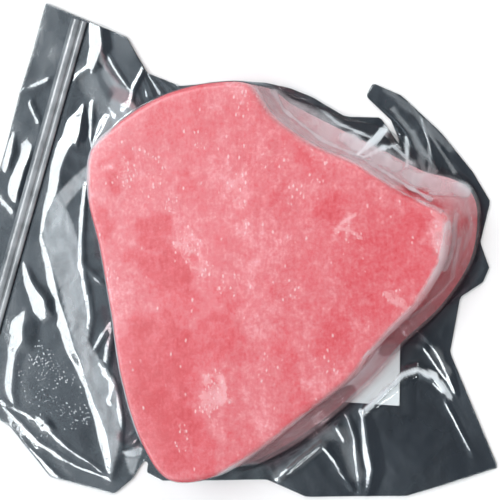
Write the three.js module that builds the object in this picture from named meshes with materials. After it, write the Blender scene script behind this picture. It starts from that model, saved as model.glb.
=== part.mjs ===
// A raw tuna steak in its vacuum pouch, lying on its back film.
// The steak is a thick slab cut across a loin, with a flat top face, a rounded rim and side walls that flare outwards
// on the right. A black back film lies flat under it, a clear front film is drawn down over it, and the two films run
// on together as a crumpled flange with a lifted ear at each corner. A white absorbent pad lies between the steak and
// the back film, and a ribbed zip track crosses the left ear.
// Units are millimetres, +Z is up, and the origin is the middle of the box's base.
import * as THREE from "three";

// ---- Driving dimensions ----
const STEAK_THICKNESS = 23;
const RIM_ROUNDING = 2.6; // radius of the steak's upper rim
const FOOT_ROUNDING = 2.0; // radius of the steak's lower rim
const CROWN = 0.9; // how much lower the top face is at its rim than in the middle
const FILM = 0.4; // a film's thickness as modelled; the real film is about 0.1
const GAP = 0.4; // clearance between pieces that lie on each other
const FOOT_FILLET = 4; // how far from the steak's foot the front film comes down to the flange
const PAD = { width: 66, depth: 58, thickness: 0.5, right: 53.6, front: -54.4 };
const TRACK = { from: [-72.6, 82], to: [-120.2, -59], width: 6.4, rib: 1.5, base: 0.6, height: 1.5 };

const PAD_BOTTOM = FILM + GAP;
const STEAK_BOTTOM = PAD_BOTTOM + PAD.thickness + GAP;
const STEAK_TOP = STEAK_BOTTOM + STEAK_THICKNESS;

// The steak's top rim, clockwise from the middle of its left side: x, y, and how far the foot stands outside it.
const RIM = [
  [-53, 0, 1], [-57.6, 19, 1.5], [-56.3, 36, 1.5], [-46, 45, 1.5], [-28, 54.8, 0.5], [-8, 59, -0.5],
  [5, 57.8, 0.3], [13, 47.8, 4.5], [28, 37.2, 7], [44, 30.5, 6], [59, 20.8, 8], [71.3, 15.4, 9],
  [74, 11, 6.3], [72.8, 0, 5.5], [65, -14.5, 4.5], [52, -28.3, 4], [42, -41, 3.5], [28, -52.8, 5],
  [10, -68, 4], [-8, -80, 1.5], [-26, -83, 1], [-36, -71.5, 1], [-44.5, -48, 1], [-49, -22, 1],
];

// The corners of the pouch's edge: the station round the steak that the corner hangs from, then x, y and how far the
// flange bends sideways on its way there. Between two corners the edge is straight.
const POUCH_EDGE = [
  [8, -86, 93], [10, -51.5, 78.5], [11, -43.5, 65], [13, -30, 59.8], [15, -9, 61], [18, 3, 60.2],
  [20, 12.5, 58], [22, 21, 54.6], [24, 33, 47.5], [26, 45.7, 47], [27, 54, 35.5], [28, 49.5, 46, 6, 0],
  [29, 40.5, 54.5, 11, 0], [30, 43, 59, 12, 2], [31, 53, 54.5, 6, 0], [33, 67, 41.5, 1, 0],
  [35, 78, 28], [37, 84, 18], [39, 80.8, 4], [40, 84, -4.5], [41, 82, -9.5], [43, 74.3, -15],
  [45, 71, -34.5], [49, 88, -73.5], [52, 56.5, -86.5], [54, 19.5, -90.5], [56, 4, -85.5],
  [59, -37, -90], [60, -45, -84.5], [61, -58.5, -97], [63, -87, -93], [66, -105, -74], [69, -138, -58],
];

// Creases that stand up in the flange: each is a roof with a straight crest, from one end to the other.
const CREASES = [
  { from: [-80, 0], to: [-61, -90], rise: [2, 7], width: 10 }, // the long cone in the lower left ear
  { from: [-104, -68], to: [-61, -93], rise: [4, 7], width: 7 }, // the folded lip below it
  { from: [-68, 16], to: [-69, -46], rise: [4, 3], width: 7 }, // along the steak's left side
  { from: [-61, 76], to: [-52, 56], rise: [3, 5], width: 7 }, // the upper left flap
  { from: [-70, 60], to: [-64, 36], rise: [3, 4], width: 7 },
  { from: [45, 47], to: [39, 42], rise: [6, 5], width: 7 }, // the tent beside the notch
  { from: [46, 55], to: [72, 33], rise: [8, 4], width: 6 }, // along the narrow upper right ear
  { from: [46, -65], to: [44, -88], rise: [3, 3.5], width: 7 }, // the lower right ear
  { from: [68, -56], to: [84, -70], rise: [2, 5], width: 10 },
];

// ---- Sampling ----
const STEPS_TO_A_POINT = 3; // stations from one point of the rim to the next
const STEPS = RIM.length * STEPS_TO_A_POINT;
const FLANGE_RINGS = 9;

const rimCurve = new THREE.CatmullRomCurve3(RIM.map((p) => new THREE.Vector3(...p)), true, "centripetal");

const smooth = (x, from, to) => THREE.MathUtils.smoothstep(x, from, to);
const mix = THREE.MathUtils.lerp;

// Where the pouch's edge is for a station: x, y and the two sideways bends.
function pouchEdgeAt(station) {
  const count = POUCH_EDGE.length;
  const after = Math.max(0, POUCH_EDGE.findIndex((corner) => corner[0] > station));
  const a = POUCH_EDGE[(after + count - 1) % count];
  const b = POUCH_EDGE[after];
  const steps = (b[0] - a[0] + STEPS) % STEPS;
  const share = ((station - a[0] + STEPS) % STEPS) / steps;
  return [1, 2, 3, 4].map((i) => mix(a[i] ?? 0, b[i] ?? 0, share));
}

// A station holds what one radial section needs: the rim point, the outward normal, the foot and the flange's line.
function stationAt(station) {
  const rim = rimCurve.getPoint(station / STEPS);
  const tangent = rimCurve.getTangent(station / STEPS);
  const out = new THREE.Vector2(-tangent.y, tangent.x).normalize();
  const top = new THREE.Vector2(rim.x, rim.y);
  const foot = top.clone().addScaledVector(out, rim.z);
  const [x, y, bendX, bendY] = pouchEdgeAt(station);
  const edge = new THREE.Vector2(x, y);
  const control = foot.clone().lerp(edge, 0.5).add(new THREE.Vector2(bendX, bendY));
  return { top, out, flare: rim.z, foot, edge, flange: new THREE.QuadraticBezierCurve(foot, control, edge) };
}

const stations = Array.from({ length: STEPS }, (_, i) => stationAt(i));
const centre = new THREE.Vector2(6, -8);

// ---- Heights ----
// The top face is crowned and has two shallow waves, as a frozen cut has.
function topFaceAt(p, share) {
  const wave = 0.35 * Math.sin(p.x / 15 + 0.6) * Math.cos(p.y / 19);
  return STEAK_TOP + wave - CROWN * share * share;
}

function placeOn(p, from, to) {
  const a = new THREE.Vector2(...from);
  const along = new THREE.Vector2(...to).sub(a);
  const share = THREE.MathUtils.clamp(p.clone().sub(a).dot(along) / along.lengthSq(), 0, 1);
  return { share, distance: p.distanceTo(a.addScaledVector(along, share)) };
}

// How high the flange is lifted at a point, a distance out from the steak's foot: the highest of the creases' roofs,
// dying out towards the foot and towards the zip track, which keeps the film flat.
function liftAt(p, fromFoot) {
  let lift = 0;
  for (const crease of CREASES) {
    const { share, distance } = placeOn(p, crease.from, crease.to);
    lift = Math.max(lift, mix(...crease.rise, share) * (1 - distance / crease.width));
  }
  const fromTrack = placeOn(p, TRACK.from, TRACK.to).distance;
  return lift * smooth(fromFoot, 3, 12) * smooth(fromTrack, 8, 24);
}

// ---- Solids from rings ----
// A cap runs from its pole outwards over rings of one point for every station. Its triangles face up.
function capTriangles(rings) {
  const at = (ring, i) => 1 + ring * STEPS + (i % STEPS);
  const triangles = [];
  for (let i = 0; i < STEPS; i++) {
    triangles.push([0, at(0, i + 1), at(0, i)]);
    for (let ring = 1; ring < rings; ring++) {
      const [a, b, c, d] = [at(ring - 1, i), at(ring - 1, i + 1), at(ring, i + 1), at(ring, i)];
      triangles.push([a, b, c], [a, c, d]);
    }
  }
  return triangles;
}

function geometryOf(points, triangles) {
  const geometry = new THREE.BufferGeometry().setFromPoints(points);
  geometry.setIndex(triangles.flat());
  geometry.computeVertexNormals();
  return geometry;
}

// A solid from its upper pole down over its rings to its lower pole.
function solidFromRings(upperPole, rings, lowerPole) {
  const points = [upperPole, ...rings.flat(), lowerPole];
  const last = points.length - 1;
  const bottom = stations.map((_, i) => [last, last - STEPS + i, last - STEPS + ((i + 1) % STEPS)]);
  return geometryOf(points, [...capTriangles(rings.length), ...bottom]);
}

// A sheet between an upper and a lower cap with as many rings, closed along its edge.
function sheetBetween(upper, lower) {
  const triangles = capTriangles(upper.length - 1);
  const under = 1 + (upper.length - 1) * STEPS;
  const lowerTriangles = triangles.map(([a, b, c]) => [under + a, under + c, under + b]);
  const edge = stations.flatMap((_, i) => {
    const [a, b] = [under - STEPS + i, under - STEPS + ((i + 1) % STEPS)];
    return [[a, b, under + b], [a, under + b, under + a]];
  });
  return geometryOf([...upper.flat(), ...lower.flat()], [...triangles, ...lowerTriangles, ...edge]);
}

const at = (p, z) => new THREE.Vector3(p.x, p.y, z);
const ringOf = (place) => stations.map((s) => place(s));

// A ring inside the top face, a share of the way from the middle to the rim.
const faceRing = (share, lift = 0) =>
  ringOf((s) => {
    const p = centre.clone().lerp(s.top, share);
    return at(p, topFaceAt(p, share) + lift);
  });

// A ring on the rounded upper rim, turned from the top face (0) to the wall (1), or on a film that far off it.
const rimRing = (turn, offset = 0) =>
  ringOf((s) => {
    const angle = (turn * Math.PI) / 2;
    const radius = RIM_ROUNDING + offset;
    const p = s.top.clone().addScaledVector(s.out, radius * Math.sin(angle) - RIM_ROUNDING);
    return at(p, topFaceAt(s.top, 1) - RIM_ROUNDING + radius * Math.cos(angle));
  });

// A ring on the side wall, a share of the way down, or on a film that far off it. The wall starts steep and flares.
const wallRing = (depth, offset = 0) =>
  ringOf((s) => {
    const z = mix(topFaceAt(s.top, 1) - RIM_ROUNDING, STEAK_BOTTOM + FOOT_ROUNDING, depth);
    return at(s.top.clone().addScaledVector(s.out, s.flare * depth ** 1.5 + offset), z);
  });

// ---- The pieces ----
function steakGeometry() {
  const footRing = (inset, z) => ringOf((s) => at(s.foot.clone().addScaledVector(s.out, -inset), STEAK_BOTTOM + z));
  const rings = [
    faceRing(0.4),
    faceRing(0.75),
    rimRing(0),
    rimRing(0.5),
    rimRing(1),
    wallRing(0.33),
    wallRing(0.66),
    wallRing(1),
    footRing(0.3 * FOOT_ROUNDING, 0.3 * FOOT_ROUNDING),
    footRing(FOOT_ROUNDING, 0),
    ringOf((s) => at(centre.clone().lerp(s.foot, 0.5), STEAK_BOTTOM)),
  ];
  return solidFromRings(at(centre, topFaceAt(centre, 0)), rings, at(centre, STEAK_BOTTOM));
}

// One ring of the flange, from the fillet (0) to the pouch's edge (1).
function flangeRing(share, base) {
  return ringOf((s) => {
    const width = s.foot.distanceTo(s.edge);
    const start = Math.min(0.4, FOOT_FILLET / width);
    const v = mix(start, 1, share);
    const p = s.flange.getPoint(v);
    return at(p, base + liftAt(p, v * width));
  });
}

const flangeShares = Array.from({ length: FLANGE_RINGS }, (_, i) => i / (FLANGE_RINGS - 1));

function backFilmGeometry() {
  const cap = (z) => [
    [at(centre, z)],
    ringOf((s) => at(centre.clone().lerp(s.foot, 0.6), z)),
    ringOf((s) => at(s.foot, z)),
    ...flangeShares.map((share) => flangeRing(share, z)),
  ];
  return sheetBetween(cap(FILM), cap(0));
}

// The front film stands clear of the steak by one gap, and clear of the pad where it comes down to the flange.
function frontFilmGeometry() {
  const overPad = PAD_BOTTOM + PAD.thickness + GAP;
  const onFlange = FILM + GAP;
  const cap = (offset) => [
    [at(centre, topFaceAt(centre, 0) + offset)],
    faceRing(0.4, offset),
    faceRing(0.75, offset),
    rimRing(0, offset),
    rimRing(0.5, offset),
    rimRing(1, offset),
    wallRing(0.33, offset),
    wallRing(0.66, offset),
    wallRing(1, offset),
    ...flangeShares.map((share) => flangeRing(share, mix(overPad, onFlange, smooth(share, 0.35, 0.9)) + offset - GAP)),
  ];
  return sheetBetween(cap(GAP + FILM), cap(GAP));
}

// A flat ribbed strip: a base with two ribs that press together.
function trackGeometry() {
  const half = TRACK.width / 2;
  const inner = half - 0.6 - TRACK.rib;
  const outer = half - 0.6;
  const section = new THREE.Shape([
    [-half, 0], [half, 0], [half, TRACK.base], [outer, TRACK.base], [outer, TRACK.height], [inner, TRACK.height],
    [inner, TRACK.base], [-inner, TRACK.base], [-inner, TRACK.height], [-outer, TRACK.height], [-outer, TRACK.base],
    [-half, TRACK.base],
  ].map((p) => new THREE.Vector2(...p)));
  const from = new THREE.Vector2(...TRACK.from);
  const run = new THREE.Vector2(...TRACK.to).sub(from);
  const geometry = new THREE.ExtrudeGeometry(section, { depth: run.length(), bevelEnabled: false, steps: 1 });
  geometry.rotateX(Math.PI / 2); // the section's height is now up, and the strip runs along -Y
  geometry.rotateZ(Math.atan2(run.y, run.x) + Math.PI / 2);
  geometry.translate(from.x, from.y, 2 * FILM + 3 * GAP);
  return geometry;
}

function padGeometry() {
  const { width, depth, thickness, right, front } = PAD;
  const geometry = new THREE.BoxGeometry(width, depth, thickness);
  geometry.translate(right - width / 2, front + depth / 2, PAD_BOTTOM + thickness / 2);
  return geometry;
}

// ---- Materials and the part ----
const flesh = new THREE.MeshStandardMaterial({ color: 0xdf6e78, roughness: 0.55, metalness: 0 });
const clearFilm = new THREE.MeshStandardMaterial({
  color: 0xdfe6e8, roughness: 0.12, metalness: 0, transparent: true, opacity: 0.25,
});
const blackFilm = new THREE.MeshStandardMaterial({ color: 0x2a2f34, roughness: 0.2, metalness: 0 });
const whitePad = new THREE.MeshStandardMaterial({ color: 0xdfe3e4, roughness: 0.9, metalness: 0 });
const zipPlastic = new THREE.MeshStandardMaterial({ color: 0x8b9196, roughness: 0.2, metalness: 0 });

function piece(name, geometry, material) {
  const mesh = new THREE.Mesh(geometry, material);
  mesh.name = name;
  return mesh;
}

const part = new THREE.Group();
part.add(
  piece("steak", steakGeometry(), flesh),
  piece("back_film", backFilmGeometry(), blackFilm),
  piece("front_film", frontFilmGeometry(), clearFilm),
  piece("pad", padGeometry(), whitePad),
  piece("zip_track", trackGeometry(), zipPlastic),
);

// The origin is the middle of the box's base.
const box = new THREE.Box3().setFromObject(part);
part.position.set(-(box.min.x + box.max.x) / 2, -(box.min.y + box.max.y) / 2, -box.min.z);

export default part;
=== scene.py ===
# %% [markdown]
# # A raw tuna steak in its vacuum pouch
#
# A frozen tuna steak lies between two films. The black back film is flat under it, the clear front film
# is sucked down over it, and beyond the steak the two run on together as a crumpled flange with an ear at
# each corner. The CAD model already gives every piece its size and place. This lesson gives each piece
# the surface that a hand would know: frosty flesh, glossy film with long creases, a ribbed zip track and
# a soft white pad.

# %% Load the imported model
import math

import bmesh
import bpy
import numpy as np
from mathutils import Matrix, Vector


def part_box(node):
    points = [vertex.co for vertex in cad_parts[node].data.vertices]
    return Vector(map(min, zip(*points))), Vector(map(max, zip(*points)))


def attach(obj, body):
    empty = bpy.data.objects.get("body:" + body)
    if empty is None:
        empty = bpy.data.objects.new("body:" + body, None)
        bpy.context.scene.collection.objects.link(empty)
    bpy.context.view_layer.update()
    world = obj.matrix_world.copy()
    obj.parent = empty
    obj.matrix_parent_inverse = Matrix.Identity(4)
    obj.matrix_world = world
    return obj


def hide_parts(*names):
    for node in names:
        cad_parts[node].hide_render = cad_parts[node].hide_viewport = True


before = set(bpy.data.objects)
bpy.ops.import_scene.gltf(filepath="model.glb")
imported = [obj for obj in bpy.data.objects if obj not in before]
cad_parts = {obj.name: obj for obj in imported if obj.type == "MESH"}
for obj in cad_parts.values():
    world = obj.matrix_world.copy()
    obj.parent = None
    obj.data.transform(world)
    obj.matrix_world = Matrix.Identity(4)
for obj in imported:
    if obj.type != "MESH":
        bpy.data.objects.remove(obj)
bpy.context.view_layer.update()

# %% [markdown]
# ## Units and the drawing's origin
#
# The films and the steak follow an outline that was drawn in millimetres from a point near the middle of
# the steak. The CAD model has its origin in the middle of its own box instead, so one known corner, the
# pad's front right one, tells how far apart the two origins are.

# %% Millimetres and the shift to the row frame
MM = 0.001
PAD_CORNER = (53.6, -54.4)
pad_low, pad_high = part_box("pad")
steak_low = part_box("steak")[0]
shift = np.array([pad_high.x / MM - PAD_CORNER[0], pad_low.y / MM - PAD_CORNER[1]])
STEAK_THICKNESS = 23
STEAK_BOTTOM = steak_low.z / MM
STEAK_TOP = STEAK_BOTTOM + STEAK_THICKNESS
print("drawing's origin in the row frame, mm:", shift.round(2), "steak from", round(STEAK_BOTTOM, 2))

# %% [markdown]
# ## The outlines
#
# The rim of the steak is a smooth closed curve through a few points, each with the distance that the foot
# stands outside it, because the right side of the cut flares. The pouch's edge is a polygon, as cut and
# folded film is. Each of its corners names the place along the rim that it hangs from, so the flange can
# be filled in with straight or slightly bent lines from the steak's foot to the edge. That lets the
# flange follow a deep notch that no circle or grid could.

# %% Rim and pouch edge
RIM = [
    (-53, 0, 1), (-57.6, 19, 1.5), (-56.3, 36, 1.5), (-46, 45, 1.5), (-28, 54.8, 0.5), (-8, 59, -0.5),
    (5, 57.8, 0.3), (13, 47.8, 4.5), (28, 37.2, 7), (44, 30.5, 6), (59, 20.8, 8), (71.3, 15.4, 9),
    (74, 11, 6.3), (72.8, 0, 5.5), (65, -14.5, 4.5), (52, -28.3, 4), (42, -41, 3.5), (28, -52.8, 5),
    (10, -68, 4), (-8, -80, 1.5), (-26, -83, 1), (-36, -71.5, 1), (-44.5, -48, 1), (-49, -22, 1),
]
POUCH_EDGE = [
    (8, -86, 93), (10, -51.5, 78.5), (11, -43.5, 65), (13, -30, 59.8), (15, -9, 61), (18, 3, 60.2),
    (20, 12.5, 58), (22, 21, 54.6), (24, 33, 47.5), (26, 45.7, 47), (27, 54, 35.5), (28, 49.5, 46, 6, 0),
    (29, 40.5, 54.5, 11, 0), (30, 43, 59, 12, 2), (31, 53, 54.5, 6, 0), (33, 67, 41.5, 1, 0), (35, 78, 28),
    (37, 84, 18), (39, 80.8, 4), (40, 84, -4.5), (41, 82, -9.5), (43, 74.3, -15), (45, 71, -34.5),
    (49, 88, -73.5), (52, 56.5, -86.5), (54, 19.5, -90.5), (56, 4, -85.5), (59, -38, -90),
    (60.3, -44.7, -87.3), (61.6, -44.1, -83.4), (62.3, -47, -82.8), (63.2, -50.4, -90, -1.5, 0),
    (63.8, -58.5, -97), (64.6, -87, -93), (66, -105, -74), (69, -138, -58),
]
EDGE_STEPS = 3  # the edge's corners are numbered in thirds of a rim point


def smooth_loop(points, places):
    """Points on the smooth closed curve through the given ones, at places counted in points."""
    points = np.array(points, float)
    whole = np.floor(places).astype(int)
    t = (places - whole)[:, None]
    p0, p1, p2, p3 = (points[(whole + k) % len(points)] for k in (-1, 0, 1, 2))
    pairs = ((p0, p1), (p1, p2), (p2, p3))
    d0, d1, d2 = (np.linalg.norm(b - a, axis=1)[:, None] ** 0.5 for a, b in pairs)
    m1 = ((p1 - p0) / d0 - (p2 - p0) / (d0 + d1) + (p2 - p1) / d1) * d1
    m2 = ((p2 - p1) / d1 - (p3 - p1) / (d1 + d2) + (p3 - p2) / d2) * d1
    return p1 + m1 * t + (3 * (p2 - p1) - 2 * m1 - m2) * t**2 + (2 * (p1 - p2) + m1 + m2) * t**3


def edge_at(places):
    """The pouch edge and the sideways bends of the flange at places counted in rim points."""
    rows = np.array([tuple(corner) + (0,) * (5 - len(corner)) for corner in POUCH_EDGE], float)
    corner_places = rows[:, 0] / EDGE_STEPS
    columns = [np.interp(places, corner_places, rows[:, k], period=len(RIM)) for k in (1, 2, 3, 4)]
    return np.column_stack(columns)


# %% [markdown]
# ## Stations
#
# A station is one section of the pack, from the middle of the steak out over its rim, down its wall and
# along the flange. Spread evenly along the rim, the stations would leave the long left ear too coarse for
# sharp creases, so they are spread by the rim's length and the edge's length together.

# %% Spread the stations
RIM_SAMPLES = 6001  # for measuring along the rim and the edge
NUDGE = 0.01  # of a rim point, for the direction of the rim


class Stations:
    """What each section needs: rim point, way outwards, flare, foot and flange line."""

    def __init__(self, count, edge_share):
        fine = np.linspace(0, len(RIM), RIM_SAMPLES)
        rim, edge = smooth_loop(RIM, fine)[:, :2], edge_at(fine)[:, :2]
        steps = [np.linalg.norm(np.diff(line, axis=0), axis=1) for line in (rim, edge)]
        shares = [step / step.sum() for step in steps]
        weight = (1 - edge_share) * shares[0] + edge_share * shares[1]
        run = np.concatenate([[0], np.cumsum(weight)])
        self.places = np.interp(np.arange(count) / count, run, fine)
        at = smooth_loop(RIM, self.places)
        ahead = (smooth_loop(RIM, self.places + NUDGE) - smooth_loop(RIM, self.places - NUDGE))[:, :2]
        self.top, self.flare = at[:, :2], at[:, 2:3]
        across = np.column_stack([-ahead[:, 1], ahead[:, 0]])
        self.out = across / np.linalg.norm(ahead, axis=1)[:, None]
        self.foot = self.top + self.out * self.flare
        edge = edge_at(self.places)
        self.edge, self.bend = edge[:, :2], edge[:, 2:]
        self.width = np.linalg.norm(self.edge - self.foot, axis=1)[:, None]
        self.along = np.interp(self.places, fine, np.concatenate([[0], np.cumsum(steps[0])]))
        self.count = count

    def flange(self, v):
        """Points on the flange lines, v from the foot (0) to the pouch's edge (1)."""
        middle = (self.foot + self.edge) / 2 + self.bend
        return (1 - v) ** 2 * self.foot + 2 * v * (1 - v) * middle + v**2 * self.edge


film_stations = Stations(640, 0.62)
back_stations = Stations(480, 0.8)
steak_stations = Stations(520, 0.0)
MIDDLE = np.array([6.0, -8.0])  # where the sections meet
print("stations:", film_stations.count, back_stations.count, steak_stations.count)

# %% [markdown]
# ## Noise for uneven surfaces
#
# Real flesh and film are uneven in a smooth way. Gradient noise gives that: a random slope at each corner
# of a grid of cells, blended between the corners. The seed is fixed, so every run gives the same surface.

# %% Gradient noise
GRID = 64  # cells before the noise repeats
FAR = 1000  # keeps cell numbers positive


def unevenness(x, y, cell, seed):
    """Smooth noise from about -1 to 1, its bumps about one cell across."""
    angles = np.random.default_rng(seed).uniform(0, 2 * math.pi, (GRID, GRID))
    u, v = x / cell + FAR, y / cell + FAR
    i, j = np.floor(u).astype(int), np.floor(v).astype(int)
    u, v = u - i, v - j

    def corner(di, dj):
        angle = angles[(i + di) % GRID, (j + dj) % GRID]
        return np.cos(angle) * (u - di) + np.sin(angle) * (v - dj)

    fu, fv = (w * w * w * (w * (6 * w - 15) + 10) for w in (u, v))
    low = corner(0, 0) * (1 - fu) + corner(1, 0) * fu
    high = corner(0, 1) * (1 - fu) + corner(1, 1) * fu
    return 1.5 * (low * (1 - fv) + high * fv)


def ramp(x, start, end):
    """0 up to start, 1 from end on, smooth between."""
    t = np.clip((x - start) / (end - start), 0, 1)
    return t * t * (3 - 2 * t)


print("noise at four places:", unevenness(np.arange(4.0), np.zeros(4), 5, 1).round(2))


# %% [markdown]
# ## The creases of the flange
#
# Crumpled film is not noise. It is made of long creases, each like a low roof with a crest and two
# flanks, and of calm facets between them. A crest line here runs from the back of the pack to its front,
# and each of its points has the width of the flank on its left side. That flank leans just enough to
# mirror the window lamp, so its width is the width of the white band that it shows. Seen from above the
# right edge of the pack, film must lean more than at the left edge to do so. Where two roofs meet, the
# higher one wins, which leaves sharp valleys like film has.

# %% Creases, in millimetres
LONG_CREASES = [
    # crest points (x, y, width of the lit flank), how many times wider the far flank is, how much steeper
    ([(-76, 37, 6.0), (-80, 29, 4.6), (-82, 20, 4.2), (-86, 13, 2.0), (-89, 3, 1.0), (-85, -9, 2.5),
      (-81, -23, 3.8), (-74, -42, 4.2), (-70, -54, 1.8), (-66, -63, 2.6), (-61, -75, 4.4), (-60, -83, 3.4),
      (-60, -91, 1.0)], 1.7),
    ([(-93, -68, 0.8), (-88, -71, 3.4), (-84, -74, 0.8)], 0.8),
    ([(-62, 83, 5.6), (-61, 75, 6.0), (-64, 69, 4.6)], 0.5),
    ([(-70, 53, 1.4), (-71, 47, 6.6), (-72, 41, 8.0)], 0.4),
    ([(-66, 54, 1.4), (-67, 47, 2.2), (-67, 40, 1.6)], 1.0),
    ([(-60, 48, 2.0), (-63, 43, 2.4), (-66, 38, 1.6)], 1.2),
    ([(-93, 37, 1.4), (-94, 29, 6.4), (-96, 21, 8.0)], 0.4),
    ([(-101, 42, 1.4), (-102, 36, 3.6), (-104, 30, 3.0)], 0.8),
    ([(-97, -8, 1.0), (-93, -16, 4.4), (-87, -23, 8.0)], 0.5),
    ([(-98, -33, 5.0), (-98, -38, 5.0), (-102, -44, 3.0), (-104, -60, 2.0), (-102, -66, 1.4)], 1.4),
    ([(-58, -32, 3.4), (-60, -40, 2.6), (-61, -50, 1.4)], 0.8),
    ([(41, -57, 1.2), (42, -64, 2.4), (43, -71, 2.8), (44, -78, 2.8), (43, -84, 2.0), (42, -89, 1.2)], 1.6),
    ([(41, -57, 1.4), (46, -52, 2.8), (51, -47, 3.6), (55, -43, 3.2), (60, -41, 2.8), (66, -44, 2.2),
      (69, -48, 1.4)], 1.0, 1.5),
    ([(68, -36, 1.4), (71, -42, 2.2), (73, -48, 1.4)], 1.0),
]
FINE_CREASES = [  # width of each flank, and the crest points
    (1.35, [(-44, 67), (-49, 59), (-50, 53)]), (1.0, [(-61, 76), (-57, 69), (-50, 58)]),
    (1.35, [(-64, 68), (-69, 67), (-75, 63)]), (1.35, [(-85, 63), (-92, 60), (-99, 58)]),
    (1.35, [(-93, 55), (-91, 51), (-88, 46)]), (1.35, [(-100, 12), (-107, 18)]),
    (1.35, [(-69, 23), (-71, 4), (-71, -7), (-67, -28), (-69, -37), (-71, -52)]),
    (1.35, [(-71, -7), (-66, -12), (-62, -15)]), (1.35, [(-60, -32), (-66, -41), (-70, -46)]),
    (1.1, [(-63, -46), (-57, -55), (-55, -66), (-55, -80), (-60, -91)]), (1.35, [(-58, -54), (-60, -61)]),
    (0.85, [(-108, -64), (-92, -70), (-80, -79), (-60, -91)]),
    (0.75, [(-107, -66), (-92, -79), (-73, -88), (-60, -91)]), (1.1, [(-99, -80), (-90, -87), (-81, -94)]),
    (0.8, [(-55, -76), (-52, -74), (-50, -72)]), (0.9, [(-55, -79), (-50, -77), (-48, -75)]),
    (0.9, [(-53, -81), (-49, -78), (-46, -77)]), (1.35, [(25, -70), (17, -77), (9, -85)]),
    (1.1, [(25, -70), (31, -76), (37, -86)]), (1.2, [(35, -59), (38, -67), (40, -87)]),
    (1.35, [(31, -63), (34, -68)]), (1.2, [(60, -27), (65, -32), (69, -38)]),
    (1.1, [(56, -32), (62, -33), (70, -43)]), (0.8, [(48, 37), (50, 37.5), (57, 31)]),
    (0.5, [(61, 46), (64, 35), (66, 28)]), (0.9, [(70, -52), (80, -70)]),
    (0.9, [(16, 55), (19, 53), (26, 51)]),
]


def crest_distance(x, y, points):
    """Signed distance from a line, positive on its left, and the line's third number at its nearest place."""
    best = np.full(x.shape, np.inf)
    side = np.zeros(x.shape)
    third = np.zeros(x.shape)
    for (ax, ay, *a), (bx, by, *b) in zip(points, points[1:]):
        length = math.hypot(bx - ax, by - ay)
        ux, uy = (bx - ax) / length, (by - ay) / length
        t = np.clip((x - ax) * ux + (y - ay) * uy, 0, length)
        distance = np.hypot(x - ax - t * ux, y - ay - t * uy)
        nearer = distance < best
        best = np.where(nearer, distance, best)
        side = np.where(nearer, np.sign(ux * (y - ay) - uy * (x - ax)), side)
        if a:
            third = np.where(nearer, a[0] + (b[0] - a[0]) * t / length, third)
    return best * np.where(side == 0, 1, side), third


def inside(x, y, corners):
    """Distance to a closed outline, positive inside it."""
    loop = [*corners, corners[0]]
    distance = np.abs(crest_distance(x, y, loop)[0])
    within = np.zeros(x.shape, bool)
    for (ax, ay), (bx, by) in zip(loop, loop[1:]):
        crosses = (ay > y) != (by > y)
        within ^= crosses & (x < ax + (y - ay) * (bx - ax) / ((by - ay) or 1))
    return np.where(within, distance, -distance)


LEAN, LEAN_PER_MM = 0.295, 0.0012  # how steep a flank mirrors the window lamp, more so to the right
WANDER = 0.5  # how far crests stray from their straight lines
FINE_LEAN = 1.3  # fine creases are steeper
SHOULDER, SHOULDER_REACH = 0.08, 3.5  # the low swelling on which a fine crease stands


def crease_height(x, y):
    """The highest of all the creases' roofs."""
    lean = LEAN + LEAN_PER_MM * x
    x, y = x + WANDER * unevenness(x, y, 13, 3), y + WANDER * unevenness(x, y, 13, 4)
    height = np.zeros(x.shape)
    for points, far, *steeper in LONG_CREASES:
        distance, width = crest_distance(x, y, points)
        reach = np.where(distance < 0, width, far * width)
        crest = lean * width * (steeper[0] if steeper else 1)
        height = np.maximum(height, crest * np.clip(1 - np.abs(distance) / reach, 0, 1))
    for width, points in FINE_CREASES:
        distance = np.abs(crest_distance(x, y, points)[0])
        shoulder = SHOULDER * width * np.clip(1 - distance / SHOULDER_REACH, 0, 1)
        height = np.maximum(height, FINE_LEAN * lean * (width - distance)) + shoulder
    return height


TRACK_FROM, TRACK_TO = (-71.3, 85.8), (-120.2, -59.0)
TRACK_HALF = 3.4  # no crease crosses the track
CALM_LEVEL = 0.55  # height of the flange between creases
PAD_SIZE = (66, 58)
FRONT_MARGIN, BACK_MARGIN = 6.0, 5.0  # over which each film comes down beside the pad


def over_pad(x, y, margin):
    """1 over the pad, falling to 0 within a margin beside it."""
    right, front = PAD_CORNER
    across = ramp(right + margin - x, 0, margin) * ramp(x - right + PAD_SIZE[0] + margin, 0, margin)
    return across * ramp(y - front + margin, 0, margin) * ramp(front + PAD_SIZE[1] + margin - y, 0, margin)


def lift(x, y, from_foot):
    """How high the flange stands above its flat place, at points some way out from the steak's foot."""
    calm = 0.7 * unevenness(x, y, 29, 5) + 0.08 * unevenness(x, y, 10, 6)
    sharp = 0.06 * (1 - 2 * np.abs(unevenness(x, y, 8, 7)))
    from_track = np.abs(crest_distance(x, y, [TRACK_FROM, TRACK_TO])[0])
    height = crease_height(x, y) * ramp(from_track, TRACK_HALF, 5.5) + CALM_LEVEL
    height += (calm + sharp) * (0.1 + 0.9 * ramp(from_track, TRACK_HALF, 11))
    return np.maximum(height, 0) * ramp(from_foot, 0.5, 8)


print("creases:", len(LONG_CREASES), "long and", len(FINE_CREASES), "fine")


# %% [markdown]
# ## Film between the rim and the flange
#
# Vacuum pulls the film tight against the top face and the walls, but where the wall meets the flange the
# film cuts the corner, and on the upper right it spans from the rim to the flange like a tent. The table
# says how far out the film leaves the foot at places along the rim.

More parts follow.
